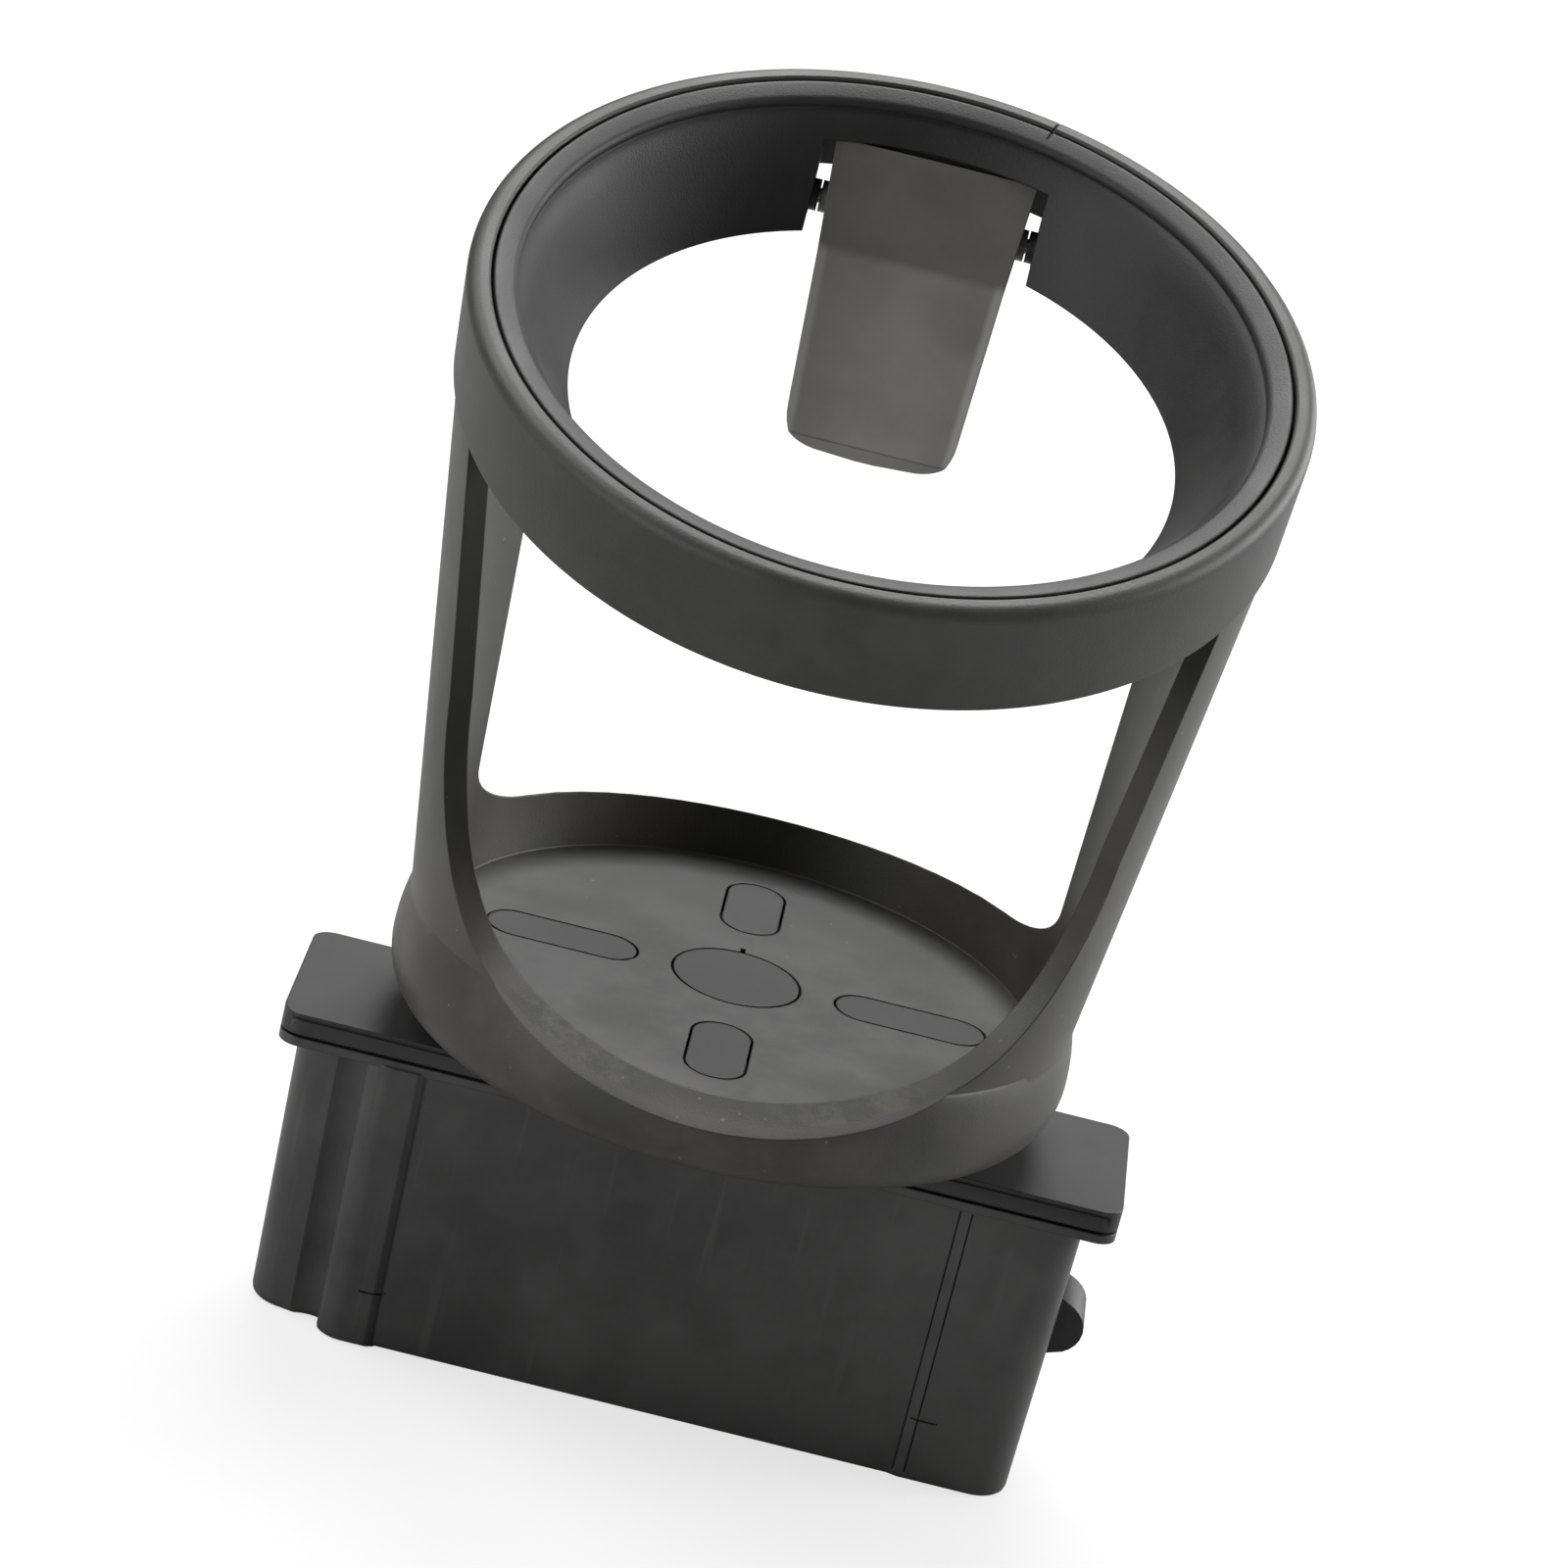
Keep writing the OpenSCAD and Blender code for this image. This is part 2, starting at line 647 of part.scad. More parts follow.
module latch_channel() {
    low = latch_z - latch_h / 2 - slide_gap;
    high = latch_z + latch_h / 2;
    rail_y = shoulder_half + slide_gap;
    end = plug_right - 1;
    for (s = [-1, 1]) translate([channel_x, s > 0 ? rail_y : -rail_y - rail_t, 1])
        cube([end - channel_x, rail_t, high - 1]);
    translate([channel_x, -rail_y - 0.1, low - rail_t])
        cube([end - channel_x, 2 * rail_y + 0.2, rail_t]);
    translate([channel_x, -rail_y - 0.1, low - rail_t])
        cube([channel_back, 2 * rail_y + 0.2, high - low + rail_t]);
    translate([channel_x + channel_back - 0.5, 0, latch_z]) rotate([0, 90, 0])
        cylinder(r = seat_post_r, h = seat_post + 0.5, $fn = 32);
}

module plug_body() color(black) difference() {
    top = rim_z + 0.5;
    union() {
        translate([0, 0, rim_z]) linear_extrude(rim_t)
            rounded([flange_w, flange_d], 2.5);
        difference() {
            linear_extrude(top) plug_plan();
            for (at = ticks, side = [0, 180]) rotate(side == 0 ? [0, 0, 0] : [180, 0, 0])
                translate([at[0], -flange_d, side == 0 ? at[1] : -at[1] - tick_t])
                    cube([tick_w, flange_d - plug_half_d + tick_depth, tick_t]);
        }
    }
    difference() {
        translate([0, 0, plug_wall]) linear_extrude(flange_z) cavity(0);
        for (x = post_x) translate([x, 0, 0]) cylinder(r = sleeve_r, h = sleeve_top);
        latch_channel();
    }
    for (x = post_x) translate([x, 0, -1]) {
        cylinder(r = post_head_r + 0.4, h = sleeve_step + 1);
        cylinder(r = post_shaft_r + fit_gap, h = sleeve_top + 2);
    }
    translate([plug_right - 8, -nose_half - slide_gap, latch_z - latch_h / 2 - slide_gap])
        cube([12, 2 * (nose_half + slide_gap), latch_h + 2 * slide_gap]);
}

module latch() color(soft_black) {
    stop_x = plug_right - plug_wall - slide_gap;
    out_x = plug_right + nose_out;
    h = latch_h / 2;
    difference() {
        translate([latch_back, -shoulder_half, latch_z - h])
            cube([stop_x - latch_back, 2 * shoulder_half, latch_h]);
        translate([latch_back - 1, 0, latch_z]) rotate([0, 90, 0])
            cylinder(r = latch_bore_r, h = latch_bore + 1, $fn = 32);
    }
    along(-nose_half, nose_half) polygon(concat(
        [[stop_x - 0.5, latch_z - h]],
        [[plug_right - 0.6, latch_z - h]],
        arc([out_x - nose_r, latch_z - 0.2], nose_r, -62, 60, 8),
        [[plug_right - 0.6, latch_z + h], [stop_x - 0.5, latch_z + h]]));
}

module latch_spring() color(steel) {
    turns = 7;
    steps = 12;
    x0 = channel_x + channel_back + latch_wire_r + 0.05;
    x1 = latch_back + latch_bore - latch_wire_r - 0.05;
    n = turns * steps;
    wire([for (i = [0:n]) let (t = turn * i / steps)
        [x0 + (x1 - x0) * i / n, latch_coil_r * cos(t), latch_z + latch_coil_r * sin(t)]],
        latch_wire_r);
}

basket();
outer_ring();
inner_liner();
flap();
flap_pin();
flap_spring();
adapter_cap();
hub_screws();
plug_body();
body_screws();
latch();
latch_spring();
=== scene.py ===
"""Cup holder for a car console: the looks of each piece, the studio stage and the camera."""
import math

import bpy
from mathutils import Matrix, Vector


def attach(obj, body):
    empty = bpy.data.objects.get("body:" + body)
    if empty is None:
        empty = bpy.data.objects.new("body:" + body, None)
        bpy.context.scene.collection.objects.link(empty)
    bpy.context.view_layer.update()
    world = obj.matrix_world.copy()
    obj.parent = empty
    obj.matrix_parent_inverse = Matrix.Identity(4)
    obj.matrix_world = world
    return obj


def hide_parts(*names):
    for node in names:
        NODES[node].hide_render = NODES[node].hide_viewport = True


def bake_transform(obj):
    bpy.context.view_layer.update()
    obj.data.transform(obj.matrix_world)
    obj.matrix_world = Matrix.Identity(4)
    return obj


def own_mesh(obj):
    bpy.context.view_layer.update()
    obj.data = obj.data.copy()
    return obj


bl_info = {
    "name": "Console cup holder",
    "version": (1, 0, 0),
    "blender": (4, 5, 0),
    "location": "3D View > Sidebar > Cup holder",
    "description": "Dresses the packed cup holder with moulded pieces, materials and a stage",
    "category": "Object",
}

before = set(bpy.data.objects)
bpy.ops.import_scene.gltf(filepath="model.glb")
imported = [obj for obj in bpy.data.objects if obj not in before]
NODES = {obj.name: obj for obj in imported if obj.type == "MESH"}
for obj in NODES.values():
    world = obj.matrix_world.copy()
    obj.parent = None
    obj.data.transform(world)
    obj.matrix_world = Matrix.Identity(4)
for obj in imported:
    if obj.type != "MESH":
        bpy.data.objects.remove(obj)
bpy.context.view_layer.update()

# Sizes are in millimetres, as in the part's source.
MM = 0.001
FLOOR_Z = 52.2
FLOOR_T = 3.0
RING_TILT = math.radians(20.35)
RING_Z = FLOOR_Z + 81.6
LEG_R = 38.6
WALL = 3.0
BAND_H = 14.5
RING_R = 48.43
RING_BOTTOM_R = 48.01
BAND_IN_R = 45.8
LEG_TOP_R = 47.46
LIP_R = 42.67
LIP_DROP = 0.76
MOUTH_R = 35.0
CUP_R = LEG_R - WALL
HINGE_Y = 39.9
HINGE_Z = 135.0
FLAP_LEAN = math.radians(15.4)
BARREL_R = 1.9
WINDOW_HALF = 13.5
CHEEK_T = 2.6
HUB_R = 7.5
WITNESS = 74.4  # where the moulding line lies round the ring, in degrees


def clear_selection():
    if bpy.context.object and bpy.context.object.mode != "OBJECT":
        bpy.ops.object.mode_set(mode="OBJECT")
    bpy.ops.object.select_all(action="DESELECT")


def make_active(piece):
    clear_selection()
    piece.select_set(True)
    bpy.context.view_layer.objects.active = piece
    return piece


def apply_modifier(piece, kind, **settings):
    make_active(piece)
    modifier = piece.modifiers.new(kind.title(), kind)
    for key, value in settings.items():
        setattr(modifier, key, value)
    bpy.ops.object.modifier_apply(modifier=modifier.name)


def combine(piece, tool, operation):
    """Adds, cuts or intersects a piece with a tool shape, and takes the tool away."""
    apply_modifier(piece, "BOOLEAN", operation=operation, object=tool, solver="EXACT")
    if not piece.data.polygons:
        raise RuntimeError("nothing is left of %s after %s" % (piece.name, tool.name))
    bpy.data.objects.remove(tool, do_unlink=True)


def place(piece, matrix):
    piece.matrix_world = matrix @ piece.matrix_world
    make_active(piece)
    bpy.ops.object.transform_apply(location=True, rotation=True, scale=True)
    return piece


def ring_matrix():
    return Matrix.Translation((0, 0, RING_Z * MM)) @ Matrix.Rotation(RING_TILT, 4, "X")


def lathe(name, profile, segments):
    """Turns a closed profile of (radius, height) in millimetres about Z."""
    clear_selection()
    radius, height = profile[0]
    bpy.ops.mesh.primitive_circle_add(vertices=segments, radius=radius * MM)
    piece = bpy.context.object
    piece.name = name
    bpy.ops.object.mode_set(mode="EDIT")
    bpy.ops.mesh.select_all(action="SELECT")
    bpy.ops.transform.translate(value=(0, 0, height * MM))
    for r, z in profile[1:] + profile[:1]:
        bpy.ops.mesh.extrude_region_move(
            TRANSFORM_OT_translate={"value": (0, 0, (z - height) * MM)})
        bpy.ops.transform.resize(value=(r / radius, r / radius, 1),
                                 center_override=(0, 0, z * MM))
        radius, height = r, z
    bpy.ops.mesh.select_all(action="SELECT")
    bpy.ops.mesh.remove_doubles(threshold=1e-6)
    bpy.ops.mesh.normals_make_consistent(inside=False)
    bpy.ops.object.mode_set(mode="OBJECT")
    return piece


def arc(cx, cz, r, start, end, steps):
    points = []
    for i in range(steps + 1):
        a = math.radians(start + (end - start) * i / steps)
        points.append((cx + r * math.cos(a), cz + r * math.sin(a)))
    return points


def smooth(piece, angle=32):
    """Smooth shading that keeps the flat faces flat."""
    make_active(piece)
    bpy.ops.object.shade_smooth_by_angle(angle=math.radians(angle))
    apply_modifier(piece, "WEIGHTED_NORMAL", keep_sharp=True, weight=80)
    return piece


def dressed_copy(node, name, width, segments=3, angle=35):
    """A copy of a solid, merged and cleaned, with its edges rounded."""
    source = NODES[node]
    clear_selection()
    piece = bpy.data.objects.new(name, source.data.copy())
    bpy.context.scene.collection.objects.link(piece)
    piece.data.materials.clear()
    make_active(piece)
    bpy.ops.object.mode_set(mode="EDIT")
    bpy.ops.mesh.select_all(action="SELECT")
    bpy.ops.mesh.remove_doubles(threshold=1e-6)
    bpy.ops.mesh.dissolve_limited(angle_limit=math.radians(1.0))
    bpy.ops.object.mode_set(mode="OBJECT")
    if width:
        apply_modifier(piece, "BEVEL", width=width * MM, segments=segments,
                       limit_method="ANGLE", angle_limit=math.radians(angle),
                       use_clamp_overlap=True, miter_outer="MITER_ARC")
    return smooth(piece)


def finish_piece(piece, node, body, material):
    """Dresses a piece and rides it on a body; with no body, it is left unattached."""
    piece.data.materials.clear()
    piece.data.materials.append(material)
    if body:
        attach(piece, body)
    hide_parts(node)
    return piece


def use_material(node, material):
    slots = NODES[node].material_slots
    for slot in slots:
        slot.material = material


# Shader maths: a socket that can be added to, multiplied and so on.
class Value:
    def __init__(self, graph, socket):
        self.graph = graph
        self.socket = socket

    def _math(self, operation, a, b=None, clamp=False):
        inputs = {0: a} if b is None else {0: a, 1: b}
        settings = {"operation": operation, "use_clamp": clamp}
        return self.graph.node("ShaderNodeMath", settings, inputs).out()

    def __add__(self, other):
        return self._math("ADD", self, other)

    __radd__ = __add__

    def __sub__(self, other):
        return self._math("SUBTRACT", self, other)

    def __rsub__(self, other):
        return self._math("SUBTRACT", other, self)

    def __mul__(self, other):
        return self._math("MULTIPLY", self, other)

    __rmul__ = __mul__

    def __truediv__(self, other):
        return self._math("DIVIDE", self, other)

    def __pow__(self, other):
        return self._math("POWER", self, other)

    def clamped(self):
        return self._math("ADD", self, 0.0, clamp=True)

    def sized(self):
        return self._math("ABSOLUTE", self)


class Made:
    def __init__(self, graph, node):
        self.graph = graph
        self.node = node

    def out(self, name=0):
        return Value(self.graph, self.node.outputs[name])


class Graph:
    """A material's nodes: one method makes any node, from its type, settings and inputs."""

    def __init__(self, name):
        self.material = bpy.data.materials.new(name)
        self.material.use_nodes = True
        self.tree = self.material.node_tree
        self.tree.nodes.clear()
        self.place = self.node("ShaderNodeTexCoord", {}, {}).out("Object")

    def node(self, kind, settings, inputs):
        node = self.tree.nodes.new(kind)
        for key, value in settings.items():
            if key == "stops":
                self._ramp(node, value)
            else:
                setattr(node, key, value)
        for key, value in inputs.items():
            if isinstance(value, Value):
                self.tree.links.new(value.socket, node.inputs[key])
            else:
                node.inputs[key].default_value = value
        return Made(self, node)

    def _ramp(self, node, stops):
        ramp = node.color_ramp
        while len(ramp.elements) < len(stops):
            ramp.elements.new(0.5)
        for element, (position, grey) in zip(ramp.elements, stops):
            element.position = position
            element.color = (grey, grey, grey, 1)

    def noise(self, per_metre, detail=3.0, rough=0.5, stretch=(1, 1, 1)):
        at = self.node("ShaderNodeMapping", {}, {"Vector": self.place, "Scale": stretch}).out()
        return self.node("ShaderNodeTexNoise", {}, {
            "Vector": at, "Scale": per_metre, "Detail": detail, "Roughness": rough}).out("Fac")

    def step(self, value, low, high):
        """Goes from 0 to 1 as a value passes from low to high."""
        return ((value - low) / (high - low)).clamped()

    def ramp(self, value, stops):
        return self.node("ShaderNodeValToRGB", {"stops": stops}, {"Fac": value}).out("Color")

    def axes(self):
        split = self.node("ShaderNodeSeparateXYZ", {}, {"Vector": self.place})
        return split.out("X"), split.out("Y"), split.out("Z")

    def mix(self, factor, a, b):
        settings = {"data_type": "RGBA", "clamp_factor": True}
        made = self.node("ShaderNodeMix", settings, {0: factor, 6: a, 7: b})
        return made.out(2)

    def finish(self, colour, rough, height, bump, round_edge=0.3, **fixed):
        """Links a plastic or metal surface; bump is in metres, round_edge in millimetres."""
        soft = self.node("ShaderNodeBevel", {"samples": 6}, {"Radius": round_edge * MM}).out()
        normal = self.node("ShaderNodeBump", {}, {
            "Height": height, "Distance": bump, "Strength": 1.0, "Normal": soft}).out()
        inputs = {"Base Color": colour, "Roughness": rough, "Normal": normal}
        inputs.update(fixed)
        shader = self.node("ShaderNodeBsdfPrincipled", {}, inputs).out()
        self.node("ShaderNodeOutputMaterial", {}, {"Surface": shader})
        return self.material


def shade(colour, k):
    return (colour[0] * k, colour[1] * k, colour[2] * k, 1)


def basket_wear_and_painted_shade(g, colour, rough):
    """Painted shade: darker legs, bead, sill and back of the floor. Also haze, scuffs on the
    sill and specks.
    """
    x, y, z = g.axes()
    radius = (x * x + y * y) ** 0.5
    sill_z = 0.0545
    on_floor = (1 - g.step((z - FLOOR_Z * MM).sized(), 0.0002, 0.0005)) * (
        1 - g.step(radius, 0.0348, 0.0356))
    # painted shade: the legs are painted darker than the floor of the same moulding
    legs = g.step(z, 0.056, 0.070)
    colour = g.mix(legs * 0.5, colour, (0.018, 0.0175, 0.0165, 1))
    cloud = g.ramp(g.noise(75, 4.0, 0.6), [(0.38, 0.0), (0.62, 1.0)])
    colour = g.mix(on_floor * 0.4, colour, (0.022, 0.021, 0.021, 1))
    # painted shade at the back of the floor, below the back wall; the haze below also fades
    # towards the back
    at_back = on_floor * g.step(y, 0.0, 0.028)
    colour = g.mix(at_back * 0.7, colour, (0.010, 0.0095, 0.0095, 1))
    haze = on_floor * (0.1 + cloud * 0.9) * (1 - g.step(y, 0.0, 0.020) * 0.85)
    colour = g.mix(haze, colour, (0.078, 0.075, 0.074, 1))
    # painted shade on the front sill; the pale scuffs after it are wear
    sill = (1 - g.step((z - sill_z).sized(), 0.0018, 0.0030)) * g.step(
        y * -1, 0.008, 0.016) * g.step(radius, 0.0354, 0.0358) * (
        1 - g.step(radius, 0.0386, 0.0390))
    colour = g.mix(sill * 0.6, colour, (0.018, 0.0175, 0.016, 1))
    sill = sill * g.step(x.sized(), 0.006, 0.014)
    scuff = g.ramp(g.noise(260, 6.0, 0.7), [(0.46, 0.0), (0.60, 1.0)])
    colour = g.mix(sill * scuff * 0.8, colour, (0.095, 0.095, 0.080, 1))
    # painted shade on the bead, broken into patches by noise
    shade_gaps = g.ramp(g.noise(110, 5.0, 0.65), [(0.44, 0.0), (0.62, 1.0)])
    bead = (1 - g.step(z, 0.054, 0.060)) * g.step(radius, 0.0392, 0.0398)
    colour = g.mix(bead * (1 - shade_gaps) * 0.5, colour, (0.022, 0.021, 0.020, 1))
    speck = g.ramp(g.noise(900, 1.0, 0.4), [(0.775, 0.0), (0.785, 1.0)])
    colour = g.mix(speck * 0.5, colour, (0.16, 0.12, 0.11, 1))
    return colour, rough + sill * scuff * 0.2


def moulded(name, colour, rough, haze=0.0, grain=0.00002, scratches=0.0, contrast=0.25,
            overpaint=None):
    """Black moulded plastic: mottled colour, fine grain, hazy patches and faint scratches."""
    g = Graph(name)
    mottle = g.noise(140, 4.0, 0.6)
    broad = g.noise(28, 2.0, 0.5)
    fine = g.noise(3800, 2.0, 0.6)
    patch = g.ramp(broad, [(0.42, 0.0), (0.72, 1.0)])
    tone = mottle * 0.55 + broad * 0.45
    spread = g.ramp(tone, [(0.36, 0.0), (0.66, 1.0)])
    amount = (spread + patch * haze).clamped()
    streak = g.noise(420, 2.0, 0.7, stretch=(1, 1, 0.06))
    fine_streak = g.ramp(streak, [(0.60, 0.0), (0.70, 1.0)])
    amount = (amount + fine_streak * scratches).clamped()
    mixed = g.mix(amount, shade(colour, 1 - contrast), shade(colour, 1 + contrast))
    roughness = rough + (mottle - 0.5) * 0.16 - patch * 0.05 + fine * 0.05
    # overpaint repaints the colour: wear and painted shade on the basket, painted shade and
    # painted highlights on the flap
    if overpaint:
        mixed, roughness = overpaint(g, mixed, roughness)
    height = fine * 1.0 + mottle * 0.8 + fine_streak * scratches
    return g.finish(mixed, roughness, height, grain)


def brushed(name, base):
    g = Graph(name)
    lines = g.noise(900, 3.0, 0.6, stretch=(0.1, 1, 1))
    colour = g.mix(lines, (base * 0.8, base * 0.81, base * 0.83, 1), (base, base, base, 1))
    return g.finish(colour, 0.28 + lines * 0.2, lines, 0.00001, round_edge=0.1, Metallic=1.0)


def band_material(settings):
    return moulded("band_plastic", settings.band_colour, 0.52, haze=0.2, grain=0.00004,
                   contrast=0.3)


def liner_material(settings):
    return moulded("liner_plastic", settings.liner_colour, 0.55, haze=0.5, grain=0.00004,
                   contrast=0.4)


def basket_material(settings):
    return moulded("basket_plastic", settings.colour, 0.45, haze=settings.haze,
                   overpaint=basket_wear_and_painted_shade)


def flap_painted_light(g, colour, rough):
    """Painted shade above the bend; below it painted highlights: a pale middle and a pale rim
    along both edges.
    """
    x, _, z = g.axes()
    upper = g.step(z, 0.1296, 0.1308)
    tip_z, widening = 0.113, 0.065
    edge = x.sized() - (z - tip_z) * widening
    rim = g.step(edge, 0.0088, 0.0094) * (1 - upper)
    middle = (1 - g.step(x.sized(), 0.001, 0.008)) * (1 - upper)
    # painted shade above the bend
    colour = g.mix(upper * 0.5, colour, (0.050, 0.050, 0.045, 1))
    # painted highlight down the middle of the blade
    colour = g.mix(middle * 0.3, colour, (0.30, 0.29, 0.255, 1))
    # painted highlight along both edges of the blade
    colour = g.mix(rim * 0.6, colour, (0.42, 0.42, 0.40, 1))
    return colour, rough


def flap_material(settings):
    return moulded("flap_plastic", settings.colour, 0.42, haze=0.3, contrast=0.15,
                   overpaint=flap_painted_light)


def cap_material(settings):
    return moulded("cap_plastic", settings.cap_colour, 0.45, haze=0.5)


def plug_material(settings):
    return moulded("plug_plastic", settings.body_colour, 0.40, haze=0.5, scratches=0.6,
                   contrast=0.3)


def latch_material(settings):
    return moulded("latch_plastic", shade(settings.body_colour, 0.35), 0.45)


def block(name, low, high):
    """A box between two corners, in millimetres."""
    clear_selection()
    middle = [(a + b) / 2 * MM for a, b in zip(low, high)]
    bpy.ops.mesh.primitive_cube_add(size=1, location=middle)
    piece = bpy.context.object
    piece.name = name
    piece.scale = [(b - a) * MM for a, b in zip(low, high)]
    bpy.ops.object.transform_apply(location=True, rotation=True, scale=True)
    return piece


def rod(name, x0, x1, y, z, r, segments=48):
    """A round rod along X, in millimetres."""
    clear_selection()
    bpy.ops.mesh.primitive_cylinder_add(vertices=segments, radius=r * MM,
        depth=(x1 - x0) * MM, rotation=(0, math.pi / 2, 0),
        location=((x0 + x1) / 2 * MM, y * MM, z * MM))
    piece = bpy.context.object
    piece.name = name
    bpy.ops.object.transform_apply(location=True, rotation=True, scale=True)
    return piece


def post(name, x, y, z0, z1, r, segments=64):
    """A round post along Z, in millimetres."""
    clear_selection()
    bpy.ops.mesh.primitive_cylinder_add(vertices=segments, radius=r * MM,
        depth=(z1 - z0) * MM, location=(x * MM, y * MM, (z0 + z1) / 2 * MM))
    piece = bpy.context.object
    piece.name = name
    bpy.ops.object.transform_apply(location=True, rotation=True, scale=True)
    return piece


def select_edges(piece, wanted):
    """Selects the edges whose two ends both pass a test, in edit mode."""
    bpy.ops.object.mode_set(mode="EDIT")
    bpy.ops.mesh.select_mode(type="EDGE")
    bpy.ops.mesh.select_all(action="DESELECT")
    bpy.ops.object.mode_set(mode="OBJECT")
    points = [v.co / MM for v in piece.data.vertices]
    for edge in piece.data.edges:
        a, b = (points[i] for i in edge.vertices)
        edge.select = wanted(a, b)
    bpy.ops.object.mode_set(mode="EDIT")


def leg_loft(name, inset, low, above, segments=240):
    """The legs' cone: a circle at the cup floor drawn out to a circle in the ring's plane."""
    clear_selection()
    r0 = (LEG_R - inset) * MM
    r1 = (LEG_TOP_R - inset) * MM
    bpy.ops.mesh.primitive_circle_add(vertices=segments, radius=r0, fill_type="NGON",
                                      location=(0, 0, 0))
    piece = bpy.context.object
    piece.name = name
    bpy.ops.object.mode_set(mode="EDIT")
    bpy.ops.mesh.select_all(action="SELECT")
    bpy.ops.transform.translate(value=(0, 0, low * MM))
    top = ring_matrix() @ Vector((0, 0, (-BAND_H + above) * MM))
    bpy.ops.mesh.extrude_region_move(
        TRANSFORM_OT_translate={"value": (0, top.y, top.z - low * MM)})
    bpy.ops.transform.resize(value=(r1 / r0, r1 / r0, 1), center_override=tuple(top))
    bpy.ops.transform.rotate(value=-RING_TILT, orient_axis="X", center_override=tuple(top))
    bpy.ops.mesh.select_all(action="SELECT")
    bpy.ops.mesh.normals_make_consistent(inside=False)
    bpy.ops.object.mode_set(mode="OBJECT")
    front = min((v.co for v in piece.data.vertices if v.co.z > 0.1), key=lambda c: c.y)
    if front.z > top.z:
        raise RuntimeError("the legs' top circle is tilted the wrong way")
    return piece


def bead_profile(settings):
    bulge_r = LEG_R + settings.bead_proud / MM
    bulge_z = -2.3
    foot_r = 37.0
    drop = settings.bead_drop / MM
    low = []
    for i in range(13):
        a = math.radians(-90 + 90 * i / 12)
        low.append((foot_r + (bulge_r - foot_r) * math.cos(a),
                    bulge_z + (drop + bulge_z) * math.sin(a)))
    high = []
    for i in range(1, 9):
        z = bulge_z + (4.4 - bulge_z) * i / 8
        high.append((bulge_r - (z - bulge_z) ** 2 / 44, z))
    shape = [(34.8, -drop)] + low + high + [
        (38.95, 4.85), (38.4, 5.05), (37.2, 5.0), (37.2, -1), (34.8, -2.4)]
    return [(r, z + FLOOR_Z) for r, z in shape]


def drawn_prism(name, half, middle, near, far, focus_y, focus_z):
    """A cutter drawn as the right half of an outline in the (X, Z) plane at Y = near, made
    symmetric, and run to Y = far while it grows away from a focus on the other side."""
    outline = [(-x, z) for x, z in reversed(half)] + [middle] + half
    clear_selection()
    bpy.ops.mesh.primitive_plane_add(size=MM)
    tool = bpy.context.object
    tool.name = name
    bpy.ops.object.mode_set(mode="EDIT")
    bpy.ops.mesh.select_mode(type="VERT")
    bpy.ops.mesh.select_all(action="SELECT")
    bpy.ops.mesh.merge(type="CENTER")
    x, z = outline[0]
    bpy.ops.transform.translate(value=(x * MM, near * MM, (FLOOR_Z + z) * MM))
    for nx, nz in outline[1:]:
        bpy.ops.mesh.extrude_vertices_move(
            TRANSFORM_OT_translate={"value": ((nx - x) * MM, 0, (nz - z) * MM)})
        x, z = nx, nz
    bpy.ops.mesh.select_all(action="SELECT")
    bpy.ops.mesh.edge_face_add()
    bpy.ops.mesh.extrude_region_move(
        TRANSFORM_OT_translate={"value": (0, (far - near) * MM, 0)})
    grow = (far - focus_y) / (near - focus_y)
    bpy.ops.transform.resize(value=(grow, 1, grow),
                             center_override=(0, far * MM, (FLOOR_Z + focus_z) * MM))
    bpy.ops.mesh.select_all(action="SELECT")
    bpy.ops.mesh.normals_make_consistent(inside=False)
    bpy.ops.object.mode_set(mode="OBJECT")
    return tool


def front_window_tool():
    """The U-shaped front window: its cut faces run to one point behind the cup's axis."""
    near, far, focus_y, focus_z = -8.0, -56.0, 22.7, 32.7
    half_w, r, low = 58.0, 29.5, 1.2
    k = (near - focus_y) / (-CUP_R - focus_y)
    half = [((half_w - r) / 2, low - 0.1)] + arc(half_w - r, low + r, r, 270, 360, 28)
    half.append((half_w + 0.22 * (120 - low - r), 120))
    half = [(x * k, focus_z + (z - focus_z) * k) for x, z in half]
    middle = (0, focus_z + (1.0 - focus_z) * k)
    return drawn_prism("front_window_tool", half, middle, near, far, focus_y, focus_z)


def rear_window_tool():
    """The rear window: its edge is laid out on the cup's inside wall and run outward."""
    near, far, focus_y, focus_z = 4.0, 60.0, -60.0, 59.5
    half_w, r, sill, bow = 35.3, 6.0, 6.1, 0.0014
    cx = half_w - r
    cz = sill + bow * cx ** 2 + r
    edge = [(cx * i / 10, sill + bow * (cx * i / 10) ** 2) for i in range(10)]
    edge += arc(cx, cz, r, 272, 360, 12)
    edge += [(half_w + 0.049 * (h - cz), h) for h in range(20, 111, 10)]
    lean = (LEG_TOP_R - WALL - CUP_R) / (RING_Z - FLOOR_Z - BAND_H)
    half = []
    for x, z in edge:
        y = math.sqrt(max((CUP_R + lean * z) ** 2 - x * x, 9))
        k = (near - focus_y) / (y - focus_y)
        half.append((k * x, focus_z + k * (z - focus_z)))
    return drawn_prism("rear_window_tool", half[1:], half[0], near, far, focus_y, focus_z)


KEYS = [(12.0, 29.8, 0), (14.0, 29.0, 90), (12.0, 29.8, 180), (14.0, 29.0, 270)]
KEY_HALF = 3.4


def key_block(name, key, grow, z0, z1):
    """One of the floor's round-ended keys, grown by a gap."""
    a, b, turn = key
    half = KEY_HALF + grow
    piece = block(name, (a - grow, -half, z0), (b + grow, half, z1))
    select_edges(piece, lambda p, q: abs(p.z - q.z) > 0.5)
    bpy.ops.mesh.bevel(offset=half * 0.999 * MM, segments=14, affect="EDGES")
    bpy.ops.object.mode_set(mode="OBJECT")
    return place(piece, Matrix.Rotation(math.radians(turn), 4, "Z"))


